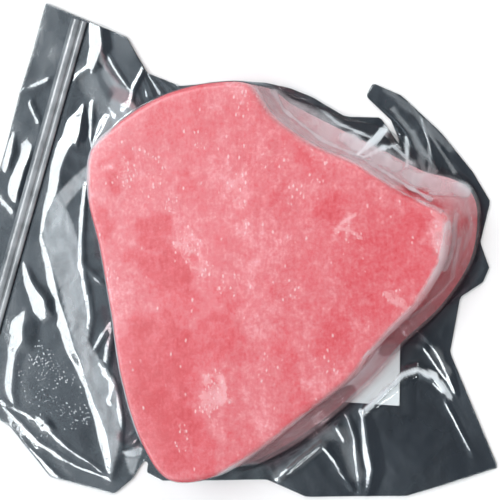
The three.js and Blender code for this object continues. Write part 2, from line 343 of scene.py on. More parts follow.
# %% How far the film bridges the foot
BRIDGE = [(0, 1.6), (3, 2.4), (4, 1.2), (6, 0.6), (7.2, 1.8), (8.3, 5.0), (9.0, 6.5), (9.6, 3.0), (10.5, 0.8),
          (12, 0.5), (14, 0.4), (16, 0.5), (18, 1.2), (19.5, 0.8), (21, 1.0), (23, 1.6)]
RIM_ROUNDING = 2.6
FOOT_ROUNDING = 2.0
CROWN = 0.9  # how much the top face falls from its middle to its rim
WALL_SLACK = 1.4  # how many times further off the film stands at the foot than on the rim


def bridge_at(stations):
    """How far outside the foot the front film reaches the flange, at each station."""
    places, reach = zip(*BRIDGE)
    return np.interp(stations.places, places, reach, period=len(RIM))[:, None]


def top_face(xy, share):
    """Height of the steak's crowned and gently waved top face."""
    x, y = xy[:, 0], xy[:, 1]
    wave = 0.35 * np.sin(x / 15 + 0.6) * np.cos(y / 19)
    uneven = 0.25 * unevenness(x, y, 17, 11) + 0.12 * unevenness(x, y, 6, 12)
    return STEAK_TOP + wave + uneven - CROWN * share**2


def points_at(xy, z):
    """Points in space from places on the plane and one height or many."""
    return np.column_stack([xy, np.broadcast_to(z, len(xy))])


def slab_rings(stations, offset, face_rings, wall_rings, bridge=None):
    """Rings over the steak's top face, its rounded rim and its wall, or over a film that far off it."""
    rings = []
    inset = stations.top - stations.out * RIM_ROUNDING
    for share in np.linspace(0, 1, face_rings + 1)[1:-1]:
        xy = MIDDLE + (inset - MIDDLE) * share
        rings.append(points_at(xy, top_face(xy, share) + offset))
    rim_z = top_face(stations.top, 1)
    for angle in np.linspace(0, math.pi / 2, 8):
        reach = (RIM_ROUNDING + offset) * math.sin(angle) - RIM_ROUNDING
        xy = stations.top + stations.out * reach
        z = np.minimum(top_face(xy, 1), rim_z) - RIM_ROUNDING + (RIM_ROUNDING + offset) * math.cos(angle)
        rings.append(points_at(xy, z))
    for depth in np.linspace(0, 1, wall_rings + 1)[1:]:
        reach = stations.flare * depth**1.5 + offset * (1 + WALL_SLACK * math.sqrt(depth))
        if bridge is not None:
            reach = reach + bridge * depth**1.2
        xy = stations.top + stations.out * reach
        z = (rim_z - RIM_ROUNDING) * (1 - depth) + (STEAK_BOTTOM + FOOT_ROUNDING) * depth
        rings.append(points_at(xy, z))
    return rings


print("widest bridge:", max(reach for place, reach in BRIDGE), "mm")


# %% [markdown]
# ## From rings to a closed mesh
#
# Every soft piece here is a set of rings around one middle point. The faces between rings are quads, so
# smooth shading follows the surface. A film gets a second layer a little below the first and a narrow
# strip along its edge, which closes it: a sheet with no thickness would vanish from some sides and could
# not be made as an object.

# %% Mesh helpers
def band_faces(ring_count, count, first=0):
    """Faces between rings, from the inner ring outwards. They face up."""
    i = np.arange(count)
    j = (i + 1) % count
    faces = []
    for ring in range(ring_count - 1):
        a, b = first + ring * count, first + (ring + 1) * count
        faces += np.column_stack([a + i, a + j, b + j, b + i]).tolist()
    return faces


def cap_faces(ring_count, count):
    """Faces of a cap: a fan around point 0, then ring after ring outwards."""
    return [[0, 1 + (k + 1) % count, 1 + k] for k in range(count)] + band_faces(ring_count, count, 1)


def points_of(piece):
    """The points of a piece in the drawing's millimetres, as three columns."""
    points = np.empty(len(piece.data.vertices) * 3)
    piece.data.vertices.foreach_get("co", points)
    points = points.reshape(-1, 3) / MM
    return points[:, 0] - shift[0], points[:, 1] - shift[1], points[:, 2]


def carry(piece, name, values):
    """Store one number for each point of a piece, for its material to read."""
    piece.data.attributes.new(name, "FLOAT", "POINT").data.foreach_set("value", values)
    print(f"{name} on {piece.name}: from {values.min():.3f} to {values.max():.3f}")


def linked(name, mesh):
    """A new object in the scene."""
    piece = bpy.data.objects.new(name, mesh)
    bpy.context.collection.objects.link(piece)
    return piece


def mesh_piece(name, points_mm, faces, material):
    """A smooth-shaded piece in metres, from points in the drawing's millimetres."""
    points = np.array(points_mm, float)
    points[:, :2] += shift
    mesh = bpy.data.meshes.new(name)
    mesh.from_pydata((points * MM).tolist(), [], faces)
    mesh.validate()
    mesh.shade_smooth()
    mesh.materials.append(material)
    print(f"{name}: {len(mesh.vertices)} points, {sum(len(p.vertices) - 2 for p in mesh.polygons)} triangles")
    return linked(name, mesh)


def film_piece(name, pole, rings, thickness, material):
    """A closed film through the rings, thickened downwards and inwards. Without a pole it has a hole."""
    count = len(rings[0])
    upper = np.vstack([[pole], *rings]) if pole else np.vstack(rings)
    grid = np.array(rings)
    across = np.roll(grid, -1, axis=1) - np.roll(grid, 1, axis=1)
    outwards = np.gradient(grid, axis=0)
    normal = np.cross(outwards, -across)
    normal /= np.linalg.norm(normal, axis=2, keepdims=True) + 1e-9
    normal = np.where(normal[..., 2:3] < 0, -normal, normal).reshape(-1, 3)
    lower = upper - thickness * (np.vstack([[[0, 0, 1]], normal]) if pole else normal)
    top = cap_faces(len(rings), count) if pole else band_faces(len(rings), count)
    faces = top + [[len(upper) + k for k in reversed(face)] for face in top]
    last = len(upper) - count + np.arange(count)
    ahead = np.roll(last, -1)
    faces += np.column_stack([last, ahead, ahead + len(upper), last + len(upper)]).tolist()
    if not pole:
        first = np.arange(count)
        ahead = np.roll(first, -1)
        faces += np.column_stack([ahead, first, first + len(upper), ahead + len(upper)]).tolist()
    return mesh_piece(name, np.vstack([upper, lower]), faces, material)


# %% [markdown]
# ## Building materials from nodes
#
# All finishes are node trees. This small helper adds a node, sets its options and fills its inputs,
# either with plain values or with another node's output, so that a material reads as a list of what feeds
# what.

# %% A helper for node trees
def add(tree, kind, options=None, inputs=None):
    """One node with its options set and its inputs filled with values or with other nodes' outputs."""
    made = tree.nodes.new(kind)
    for name, value in (options or {}).items():
        setattr(made, name, value)
    for name, value in (inputs or {}).items():
        socket = made.inputs[name]
        if isinstance(value, bpy.types.NodeSocket):
            tree.links.new(value, socket)
        else:
            socket.default_value = value
    return made


def new_material(name):
    """An empty material and its tree, with only an output node."""
    material = bpy.data.materials.new(name)
    material.use_nodes = True
    material.node_tree.nodes.clear()
    return material, material.node_tree


def surface(tree, inputs):
    """The shader that every solid surface here uses."""
    return add(tree, "ShaderNodeBsdfPrincipled", None, inputs)


def show(tree, shader):
    """Send a shader to the surface."""
    add(tree, "ShaderNodeOutputMaterial", None, {"Surface": shader.outputs[0]})


def object_places(tree, turn=0.0, stretch=(1, 1, 1)):
    """Object coordinates in metres, turned about Z and stretched."""
    place = add(tree, "ShaderNodeTexCoord").outputs["Object"]
    settings = {"Vector": place, "Rotation": (0, 0, turn), "Scale": stretch}
    return add(tree, "ShaderNodeMapping", None, settings).outputs[0]


def carried(tree, name):
    """A number that the piece carries at each point."""
    return add(tree, "ShaderNodeAttribute", {"attribute_name": name}).outputs["Fac"]


def noise(tree, places, size, detail=4.0, roughness=0.6, distortion=0.0):
    """Fractal noise whose largest bumps are about one size (in metres) across."""
    return add(tree, "ShaderNodeTexNoise", None, {
        "Vector": places, "Scale": 1 / size, "Detail": detail, "Roughness": roughness,
        "Distortion": distortion,
    }).outputs["Fac"]


def between(tree, value, low, high, to_low=0.0, to_high=1.0):
    """Map a value from one range to another, clamped, with smooth ends."""
    return add(tree, "ShaderNodeMapRange", {"interpolation_type": "SMOOTHSTEP"}, {
        "Value": value, "From Min": low, "From Max": high, "To Min": to_low, "To Max": to_high,
    }).outputs[0]


def calculate(tree, operation, a, b=0.0, clamped=False):
    """One sum of numbers or other nodes' outputs."""
    settings = {"operation": operation, "use_clamp": clamped}
    return add(tree, "ShaderNodeMath", settings, {0: a, 1: b}).outputs[0]


def plus(tree, a, b):
    return calculate(tree, "ADD", a, b)


def times(tree, a, b):
    return calculate(tree, "MULTIPLY", a, b)


def scaled_plus(tree, a, factor, b):
    """a times a factor, plus b."""
    return add(tree, "ShaderNodeMath", {"operation": "MULTIPLY_ADD"}, {0: a, 1: factor, 2: b}).outputs[0]


def blend(tree, share, first, second):
    """Mix two colours."""
    colours = {"Factor": share, 6: first, 7: second}
    return add(tree, "ShaderNodeMix", {"data_type": "RGBA"}, colours).outputs[2]


def bumped(tree, height, strength, distance):
    """The surface's direction, tilted by a pattern of heights."""
    settings = {"Strength": strength, "Distance": distance, "Height": height}
    return add(tree, "ShaderNodeBump", None, settings).outputs[0]


def see_through(tree, solid, tint, skin):
    """Show a skin over a clear, slightly tinted shader, by how solid the skin is."""
    clear = add(tree, "ShaderNodeBsdfTransparent", None, {"Color": (*tint, 1)})
    show(tree, add(tree, "ShaderNodeMixShader", None, {0: solid, 1: clear.outputs[0], 2: skin.outputs[0]}))


def paint(red, green, blue):
    """A colour as a screen shows it, from 0 to 255, made linear for the renderer."""
    shares = (c / 255 for c in (red, green, blue))
    return tuple(c / 12.92 if c < 0.0404 else ((c + 0.055) / 1.055) ** 2.4 for c in shares) + (1,)


# %% [markdown]
# ## Flesh
#
# Frozen tuna is salmon pink with deeper red where the frost is thin, and it is matt, because frost
# scatters light. One number per place says how red the flesh is, and a second one how frosty it is. Both
# are worked out here for every point of the mesh, from soft patches at named places with ragged outlines,
# and are carried as attributes. On the wall the first number also holds painted shade: deeper red along
# the folds, where shadow falls.

# %% Where the flesh is red, pale or frosty
RED_PATCHES = [  # x, y, reach and strength; millimetres in the drawing
    (-28, -36, 15, 1.0), (-36, -54, 14, 1.0), (-26, -64, 14, 1.0), (-32, -75, 9, 0.8), (-7, -32, 10, 0.7),
    (-16, -42, 8, 0.7), (-14, -70, 9, 0.7), (-20, -52, 12, 0.8), (-42, -40, 7, 0.8), (-2, -32, 3, 0.8),
    (-30, 7, 7, 0.9), (-24, -6, 10, 0.9), (-37, -3, 5, 0.7), (-21, -17, 7, 0.6), (-46, 25, 4, 0.9),
    (-49, 33, 3, 0.7), (-41, 31, 5, 0.5), (-18, 25, 5, 0.6), (-1, -16, 5, 0.5), (27, 30, 6, 0.5),
    (58, 2, 13, 0.34), (50, -4, 11, 0.3), (45, -15, 8, 0.4), (63, 12, 6, 0.4), (57, -16, 6, 0.5),
    (19, -37, 6, 0.4), (34, 15, 6, 0.6), (35, -30, 8, 0.5), (20, -50, 8, 0.35), (-52, 10, 5, 0.5),
    (-20, 49, 12, 0.3),
]
PALE_PATCHES = [
    (-6, -47, 4, 1.0), (-11, -54, 7, 0.75), (-5, -62, 3, 0.6), (39, 12, 2.5, 1.0), (58, -15, 3.5, 0.8),
    (-48, 30, 2, 0.9), (2, 24, 4, 0.7), (0, 17, 3, 0.8), (-16, 1, 5, 0.6), (7, -13, 3, 0.5),
    (-7, 53, 4, 0.5), (2, 56, 5, 0.6), (-28, 36, 4, 0.5), (11, -23, 8, 0.5), (11, -51, 10, 0.4),
    (-42, -18, 8, 0.4), (-5, 27, 6, 0.5), (-42, 13, 7, 0.4), (-56, 20, 4, 0.5), (14, 4, 9, 0.35),
    (70, 10, 3.5, 0.7), (71, 3, 2.5, 0.7), (6, 5, 4, 0.6), (4, -8, 4, 0.5), (30, -40, 7, 0.35),
    (-14, -2, 4, 0.5),
]
FROSTY_PATCHES = [
    (-17, 1, 6, 0.75), (-12, -5, 5, 0.7), (1, 20, 4, 0.7), (3, 27, 3, 0.6), (6, 6, 3, 0.7),
    (-1, -13, 3, 0.8), (-24, 16, 3, 0.6), (-35, 35, 3, 0.6), (20, -12, 5, 0.45), (-7, -48, 5, 1.0),
    (-12, -55, 4, 0.7), (-20, -67, 3, 0.6), (24, 22, 4, 0.6), (6, 52, 6, 0.5), (15, 32, 6, 0.55),
    (-40, 26, 6, 0.6), (58, -14, 4, 0.5), (-48, -10, 5, 0.4), (30, 33, 3, 0.6), (-14, 40, 4, 0.5),
    (33, -36, 4, 0.5), (-48, 29, 1.6, 0.7), (-30, 28, 6, 0.45), (10, -40, 6, 0.4),
]
FROST_OUTLINES = [  # where the film has lifted off the flesh, with sharp edges
    [(68, 16), (71, 16), (73, 12), (72, 4), (71, 1), (68, 5), (69, 10)],
    [(52, -11), (56, -11), (60, -14), (62, -18), (60, -20), (57, -17), (53, -14)],
    [(-5, -44), (-3, -50), (-8, -56), (-14, -57), (-12, -49)],
]
FROST_LINES = [[(43, 14), (38, 11), (36, 7)], [(41, 14), (40, 5)], [(36, 9), (41, 9), (45, 6)]]
PALE_WALLS = [  # where the wall is frosted
    (8, 58, 9, 1.0), (20, 50, 9, 1.0), (32, 42, 9, 1.0), (44, 36, 9, 1.0), (56, 30, 9, 1.0),
    (68, 25, 8, 0.9), (78, 19, 6, 0.6), (73, 13, 4, 0.7), (75, 6, 4, 0.4), (20, -62, 9, 0.8),
    (8, -72, 9, 0.8), (-4, -82, 9, 0.7), (36, -50, 7, 0.7), (48, -37, 5, 0.4),
]
FOLD_SHADE_LINES = [  # painted shade of a fold on the wall, drawn as deeper red: its points and its reach
    ([(57, 24), (64, 21), (71, 20), (79, 23)], 0.7),
    ([(7, 57), (13.8, 48.7), (28.5, 38.2), (44.4, 31.4), (59.4, 21.7)], 0.5),
    ([(75, 9), (74, 2), (72, -4)], 0.5), ([(78, 12), (78, 4), (75, -4)], 0.6), ([(80, 15), (80, 8)], 0.5),
]


def patch_strength(x, y, patches):
    """The strongest of several soft round patches."""
    strongest = np.zeros(x.shape)
    for patch_x, patch_y, reach, strength in patches:
        away = np.hypot(x - patch_x, y - patch_y)
        strongest = np.maximum(strongest, strength * ramp(1.2 * reach - away, 0, 0.55 * reach))
    return strongest


MEAN_REDNESS, WALL_REDNESS = 0.47, 0.62


def colour_points(piece):
    """Give every point of the steak its redness, with painted shade along the folds of the wall, and its
    frost.
    """
    x, y, z = points_of(piece)
    ragged_x = x + 3.5 * unevenness(x, y, 11, 51) + 3.0 * unevenness(x, y, 4.5, 52)
    ragged_y = y + 4.5 * unevenness(x, y, 12, 53) + 3.0 * unevenness(x, y, 4.5, 54)
    redness_and_fold_shade = MEAN_REDNESS + 0.08 * unevenness(x, y, 21, 55)
    redness_and_fold_shade += 0.4 * patch_strength(ragged_x, ragged_y, RED_PATCHES)
    redness_and_fold_shade -= 0.24 * patch_strength(ragged_x, ragged_y, PALE_PATCHES)
    frost = patch_strength(ragged_x, ragged_y, FROSTY_PATCHES)
    for corners in FROST_OUTLINES:
        frost = np.maximum(frost, 0.95 * ramp(inside(x, y, corners), -0.6, 0.6))
    for line in FROST_LINES:
        frost = np.maximum(frost, 1.2 * ramp(1.1 - np.abs(crest_distance(x, y, line)[0]), 0, 1.0))
    on_wall = 1 - ramp(z, STEAK_TOP - 3.6, STEAK_TOP - 1.4)
    wall_redness_and_fold_shade = WALL_REDNESS + 0.2 * unevenness(x, y, 7, 56)
    wall_redness_and_fold_shade -= 0.55 * patch_strength(x, y, PALE_WALLS)
    # painted shade: deeper red along each fold of the wall, where shadow falls
    for line, reach in FOLD_SHADE_LINES:
        wall_redness_and_fold_shade += 0.5 * ramp(reach - np.abs(crest_distance(x, y, line)[0]), 0, 0.8)
    redness_and_fold_shade += (wall_redness_and_fold_shade - redness_and_fold_shade) * on_wall
    frost *= 1 - on_wall
    carry(piece, "redness_and_fold_shade", redness_and_fold_shade)
    carry(piece, "frost", frost)


# %% [markdown]
# ## The flesh's material
#
# The material reads the two numbers and adds what is finer than the mesh: mottling, grain that runs along
# the cut, and frost in flecks and fine lace.

# %% Flesh material
GRAIN_TURN = math.radians(8)  # the way the muscle runs


def warped(tree, places, size, amount):
    """Places pushed about by noise, so that shapes drawn on them get ragged outlines."""
    push = add(tree, "ShaderNodeTexNoise", None, {"Vector": places, "Scale": 1 / size, "Detail": 3.0})
    steps = (("SUBTRACT", {1: (0.5, 0.5, 0.5)}), ("SCALE", {"Scale": amount}), ("ADD", {1: places}))
    moved = push.outputs["Color"]
    for operation, others in steps:
        moved = add(tree, "ShaderNodeVectorMath", {"operation": operation}, {0: moved, **others}).outputs[0]
    return moved


def swing(tree, value, amount):
    """Noise about zero: its distance from one half, times an amount."""
    return times(tree, calculate(tree, "SUBTRACT", value, 0.5), amount)


def flesh_colour(tree, redness_and_fold_shade):
    """From frosted pink (0) to deep red (1)."""
    ramp_node = add(tree, "ShaderNodeValToRGB", None, {"Fac": redness_and_fold_shade})
    stops = ramp_node.color_ramp.elements
    stops[0].position, stops[0].color = 0.0, paint(232, 168, 172)
    stops[1].position, stops[1].color = 1.0, paint(198, 42, 53)
    for place, colour in ((0.22, (224, 134, 140)), (0.45, (214, 104, 111)), (0.74, (210, 74, 84))):
        stops.new(place).color = paint(*colour)
    return ramp_node.outputs["Color"]


def frost_flecks(tree, frost):
    """Frost crystals: oval flecks, scattered everywhere and dense where it is frosty, and fine lace there."""
    slanted = warped(tree, object_places(tree, GRAIN_TURN, (1, 0.6, 1)), 0.0008, 0.0007)
    cells = add(tree, "ShaderNodeTexVoronoi", None, {"Vector": slanted, "Scale": 760.0, "Randomness": 1.0})
    luck = add(tree, "ShaderNodeSeparateColor", None, {"Color": cells.outputs["Color"]}).outputs[0]
    share = plus(tree, frost, 0.04)
    chosen = between(tree, calculate(tree, "SUBTRACT", share, luck), 0.0, 0.03)
    fleck = times(tree, between(tree, cells.outputs["Distance"], 0.42, 0.15), chosen)
    net = {"Vector": warped(tree, object_places(tree), 0.003, 0.003), "Scale": 420.0}
    lace = add(tree, "ShaderNodeTexVoronoi", {"feature": "DISTANCE_TO_EDGE"}, net)
    thread = between(tree, lace.outputs["Distance"], 0.16, 0.02)
    broken = between(tree, noise(tree, object_places(tree), 0.0025, 2), 0.42, 0.58)
    thread = times(tree, times(tree, thread, broken), times(tree, frost, 0.4))
    return calculate(tree, "MAXIMUM", fleck, thread)


def make_flesh():
    """Mottled and grained flesh with frost over it."""
    material, tree = new_material("tuna_flesh")
    places = object_places(tree)
    redness_and_fold_shade, frost = carried(tree, "redness_and_fold_shade"), carried(tree, "frost")
    cloud = noise(tree, warped(tree, places, 0.008, 0.006), 0.008, 4, 0.55)
    mottle = noise(tree, warped(tree, places, 0.004, 0.003), 0.003, 5, 0.65)
    along_grain = warped(tree, object_places(tree, GRAIN_TURN, (1, 0.22, 1)), 0.01, 0.002)
    grain = noise(tree, along_grain, 0.0011, 4, 0.6)
    fine = noise(tree, places, 0.0011, 3, 0.7)
    for pattern, amount in ((cloud, 0.5), (mottle, 0.8), (grain, 0.45), (fine, 0.7)):
        redness_and_fold_shade = plus(tree, redness_and_fold_shade, swing(tree, pattern, amount))
    crystals = frost_flecks(tree, frost)
    ragged_frost = plus(tree, frost, plus(tree, swing(tree, mottle, 2.4), swing(tree, fine, 1.8)))
    lifted = times(tree, between(tree, ragged_frost, 0.7, 1.0), 0.3)
    white = calculate(tree, "MAXIMUM", times(tree, crystals, 0.6), lifted)
    colour = blend(tree, white, flesh_colour(tree, redness_and_fold_shade), paint(244, 206, 208))
    height = times(tree, plus(tree, plus(tree, mottle, fine), crystals), 0.5)
    show(tree, surface(tree, {
        "Base Color": colour, "Roughness": 0.65, "Normal": bumped(tree, height, 0.5, 0.0005),
        "Subsurface Weight": 0.12, "Subsurface Radius": (1.0, 0.35, 0.25), "Subsurface Scale": 0.0012,
        "Specular IOR Level": 0.15,
    }))
    return material


flesh = make_flesh()
print("flesh nodes:", len(flesh.node_tree.nodes))

# %% [markdown]
# ## The steak
#
# The CAD steak has the right size but flat facets, so a finer one takes its place. It uses the same rim
# and the same rounding, with enough rings to show an uneven, once-frozen surface. The wall carries low
# ridges that run down it, where the knife and the pouch have left their marks.

# %% Build the steak
FACE_RINGS, WALL_RINGS = 72, 30


def build_steak():
    """The slab: face, rim, wall, foot and base, closed by one point above and one below."""
    stations = steak_stations
    rings = slab_rings(stations, 0.0, FACE_RINGS, WALL_RINGS)
    wall = len(rings) - WALL_RINGS
    for k in range(wall, len(rings)):
        depth = (k - wall + 1) / WALL_RINGS
        marks = 0.14 * unevenness(stations.along + 6 * depth, depth * 9 + 0 * stations.along, 4.5, 21)
        rings[k][:, :2] += stations.out * (marks * math.sin(math.pi * min(depth, 0.98)))[:, None]
    for angle in np.linspace(0, math.pi / 2, 6)[1:]:
        xy = stations.foot - stations.out * FOOT_ROUNDING * (1 - math.cos(angle))
        rings.append(points_at(xy, STEAK_BOTTOM + FOOT_ROUNDING * (1 - math.sin(angle))))
    foot = stations.foot - stations.out * FOOT_ROUNDING
    for share in (0.85, 0.6, 0.35, 0.12):
        rings.append(points_at(MIDDLE + (foot - MIDDLE) * share, STEAK_BOTTOM))
    for k in range(FACE_RINGS):
        x, y = rings[k][:, 0], rings[k][:, 1]
        rings[k][:, 2] += 0.07 * unevenness(x, y, 2.2, 22)
        rings[k][:, 2] += 0.05 * unevenness(x * 2.2, y * 0.4, 2.0, 23)
    pole_top = [*MIDDLE, top_face(MIDDLE[None], 0.0)[0]]
    points = np.vstack([[pole_top], *rings, [[*MIDDLE, STEAK_BOTTOM]]])
    faces = cap_faces(len(rings), stations.count)
    last = len(points) - 1
    ring = last - stations.count + np.arange(stations.count)
    faces += np.column_stack([np.full(stations.count, last), ring, np.roll(ring, -1)]).tolist()
    return mesh_piece("tuna_steak", points, faces, flesh)


tuna_steak = build_steak()
colour_points(tuna_steak)
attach(tuna_steak, "root")
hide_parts("steak")

# %% [markdown]
# ## Clear film
#
# Thin clear film is almost invisible where it is seen straight through and bright where it mirrors a
# lamp. A clear shader and a mirror-like one are mixed by how the surface faces the eye. Where film stands
# off the flesh, or lies doubled, it turns milky. Each point of the film carries that amount as an
# attribute, which also holds painted highlights drawn as milky white lines. A second attribute tints the
# film red, with the flesh seen through it and with a painted reflection of the flesh.

# %% Clear film material
def make_clear_film():
    """Clear film: a mirror at grazing angles, milky where it carries haze, white along painted highlights,
    red with the flesh seen through it and with a painted reflection of the flesh, duller where it clings.
    """
    material, tree = new_material("clear_pouch_film")
    cling = carried(tree, "cling")
    streaks = noise(tree, object_places(tree, math.radians(-14), (1, 0.22, 0.4)), 0.005, 3, 0.5, 0.2)
    # milky haze, together with the painted highlights that it carries
    milk_and_highlight = times(tree, carried(tree, "haze_and_painted_highlight"), between(tree, streaks, 0.3, 0.7, 0.8, 1.15))
    facing = add(tree, "ShaderNodeLayerWeight", None, {"Blend": 0.5}).outputs["Facing"]
    grazing = times(tree, calculate(tree, "POWER", facing, 5.0), 0.8)
    grazing = times(tree, grazing, between(tree, cling, 0, 1, 1.0, 0.15))
    mirror = plus(tree, grazing, between(tree, cling, 0, 1, 0.05, 0.03))
    seen = calculate(tree, "ADD", mirror, milk_and_highlight, clamped=True)
    ripple = noise(tree, object_places(tree), 0.003, 3, 0.5)
    # milky white and painted highlights, turning red with the flesh seen through the film and with its
    # painted reflection
    gloss = surface(tree, {
        "Base Color": blend(tree, carried(tree, "flesh_tint_and_reflection"), paint(232, 239, 243), paint(214, 96, 108)),
        "Metallic": calculate(tree, "DIVIDE", mirror, seen, clamped=True),
        "Roughness": between(tree, cling, 0, 1, 0.07, 0.4), "Normal": bumped(tree, ripple, 0.12, 0.0004),
    })
    see_through(tree, seen, (0.985, 0.99, 0.99), gloss)
    return material


clear_film = make_clear_film()
print("clear film nodes:", len(clear_film.node_tree.nodes))

# %% [markdown]
# ## Black back film
#
# The back film is black and glossy, with a faint blue cast. Very fine ripples keep its reflections from
# looking like glass.

# %% Black film material
def make_black_film():
    """Black plastic, glossier in some places than in others."""
    material, tree = new_material("black_pouch_film")
    places = object_places(tree)
    cloud = noise(tree, places, 0.02, 4, 0.55)
    speck = noise(tree, places, 0.0012, 3, 0.6)
    colour = blend(tree, cloud, paint(15, 21, 29), paint(30, 39, 50))
    show(tree, surface(tree, {
        "Base Color": colour, "Roughness": between(tree, cloud, 0.3, 0.7, 0.14, 0.26),
        "Normal": bumped(tree, speck, 0.15, 0.0003),
    }))
    return material


black_film = make_black_film()
print("black film nodes:", len(black_film.node_tree.nodes))

# %% [markdown]
# ## Both films
#
# The front film follows the steak a third of a millimetre off, cuts the corner at the foot and then
# follows the creases of the flange. The back film follows the same creases a little lower, and is flat
# under the steak.

# %% Build the films
FILM = 0.12  # thickness
OVER_STEAK = 0.3
BACK_TOP = 0.4
BACK_THICKNESS = 0.6 * BACK_TOP
FLANGE_GAP = 0.35
FRONT_LEVEL = BACK_TOP + FLANGE_GAP
PAD_CLEARANCE = 0.95
FACE_FILM_RINGS, WALL_FILM_RINGS, FLANGE_RINGS = 18, 30, 68
LANDING = 0.6  # how much higher the film is where it reaches the flange


def flange_points(stations, start, share, is_front):
    """One ring of the flange, a share of the way from its start outside the foot to the pouch's edge."""
    v = start + (1 - start) * share
    xy = stations.flange(v)
    x, y = xy[:, 0], xy[:, 1]
    height = lift(x, y, (v * stations.width)[:, 0])
    if is_front:
        return points_at(xy, FRONT_LEVEL + height + PAD_CLEARANCE * over_pad(x, y, FRONT_MARGIN))
    return points_at(xy, BACK_TOP + height * (1 - over_pad(x, y, BACK_MARGIN)))


def build_front_film():
    """The front film in two pieces that meet near the foot: over the steak, and the flange."""
    stations = film_stations
    bridge = bridge_at(stations)
    rings = slab_rings(stations, OVER_STEAK, FACE_FILM_RINGS, WALL_FILM_RINGS, bridge)
    off_foot = (1 + WALL_SLACK) * OVER_STEAK + bridge
    fillet = np.minimum(np.clip(bridge, 1.0, 3.0), 0.3 * stations.width)
    wall_end = rings[-1][:, 2].copy()
    start = np.clip((off_foot + fillet) / stations.width, 0.02, 0.7)
    pleats = 0.5 * (1 - 2 * np.abs(unevenness(stations.along, 0 * stations.along, 5.0, 31)))
    pleats *= (ramp(bridge, 0.4, 1.6) * (1 - ramp(bridge, 2.5, 4.5)))[:, 0]
    landing = flange_points(stations, start, 0.0, True)
    landing[:, 2] += LANDING
    for turn in np.linspace(0, 1, 7)[1:-1]:
        ease = math.sin(turn * math.pi / 2)
        xy = stations.top + stations.out * (stations.flare + off_foot)
        xy = xy + (landing[:, :2] - xy) * (1 - math.cos(turn * math.pi / 2))
        z = wall_end + (landing[:, 2] - wall_end) * ease + pleats * math.sin(math.pi * turn)
        rings.append(points_at(xy, z))
    flange = [rings[-1]]
    for share in np.linspace(0, 1, FLANGE_RINGS):
        ring = flange_points(stations, start, share, True)
        from_start = (share * (1 - start) * stations.width)[:, 0]
        ring[:, 2] += LANDING * np.exp(-from_start / 2.5)
        ring[:, 2] += pleats * ramp(from_start, 0, 2) * np.exp(-from_start / 7)
        flange.append(ring)
    pole = [*MIDDLE, top_face(MIDDLE[None], 0.0)[0] + OVER_STEAK]
    over_steak = film_piece("front_film_over_steak", pole, rings, FILM, clear_film)
    return over_steak, film_piece("front_film_flange", None, flange, FILM, clear_film)


def build_back_film():
    """The back film: flat under the steak, then the flange."""
    stations = back_stations
    out_to_foot = stations.foot - MIDDLE
    rings = [points_at(MIDDLE + out_to_foot * share, BACK_TOP) for share in (0.3, 0.6, 0.85, 1.0)]
    for share in np.linspace(0, 1, FLANGE_RINGS)[1:]:
        rings.append(flange_points(stations, np.zeros_like(stations.width), share, False))
    return film_piece("back_film_sheet", [*MIDDLE, BACK_TOP], rings, BACK_THICKNESS, black_film)


front_skins = build_front_film()
back_sheet = build_back_film()

# %% [markdown]
# ## Where the film is milky, and its painted highlights
#
# Haze is set where air or frost parts the film from what is behind it: the tent on the upper right, the
# walls, the doubled film along the steak's left side and a few creases. The same number holds painted
# highlights, drawn as milky white: streaks on the tent, the arch on the lower right, and light lines along
# the rim and beside the folds of the walls. The film is tinted red where the flesh shows through it on the
# walls, and where a painted reflection of the flesh lies beside the steak's left side. On the rim itself
# the film clings, which dulls it.

